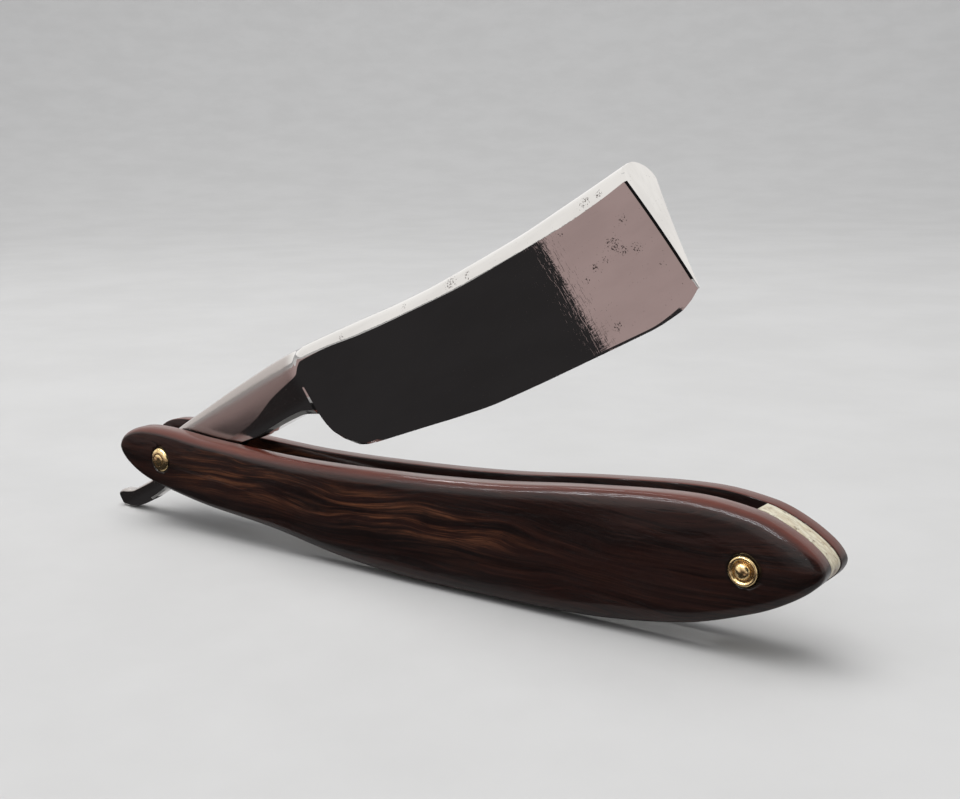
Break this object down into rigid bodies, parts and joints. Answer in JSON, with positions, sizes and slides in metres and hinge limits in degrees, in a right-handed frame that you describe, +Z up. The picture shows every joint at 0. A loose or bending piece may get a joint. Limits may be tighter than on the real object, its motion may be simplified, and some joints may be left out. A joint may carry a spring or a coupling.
{
  "type": "straight razor",
  "caption": "Open straight razor: a wide wedge-ground steel blade turns on a brass pin between two dark hardwood scales joined by an ivory wedge.",
  "frame": {"origin": "on the scales' lower edges at the middle of the stand's seat, midway between the two scales", "axes": "+X along the handle from the pivot pin to the wedge pin, +Y across from the front scale to the rear scale, +Z up"},
  "size_m": [0.1612, 0.016, 0.0727],
  "materials": {
    "scale_wood": "dark figured rosewood, hand-polished, grain along the handle",
    "ivory": "satin ivory or bone, faintly mottled",
    "brass": "pale polished brass, lightly tarnished",
    "blade_steel": "mirror-polished carbon steel with fine scratches and light pitting"
  },
  "bodies": {
    "scales": {"front_scale": "scale_wood", "rear_scale": "scale_wood", "wedge": "ivory", "pivot_pin": "brass", "wedge_pin": "brass", "pivot_collar_front": "brass", "wedge_collar_front": "brass", "pivot_washer_front": "brass", "pivot_collar_rear": "brass", "wedge_collar_rear": "brass", "pivot_washer_rear": "brass"},
    "blade": {"blade": "blade_steel"}
  },
  "joints": [
    {"name": "blade_pivot", "type": "hinge", "parent": "scales", "child": "blade", "pos_m": [-0.068, 0, 0.0135], "axis": [0, -1, 0], "range_deg": [-17.4, 305]}
  ]
}
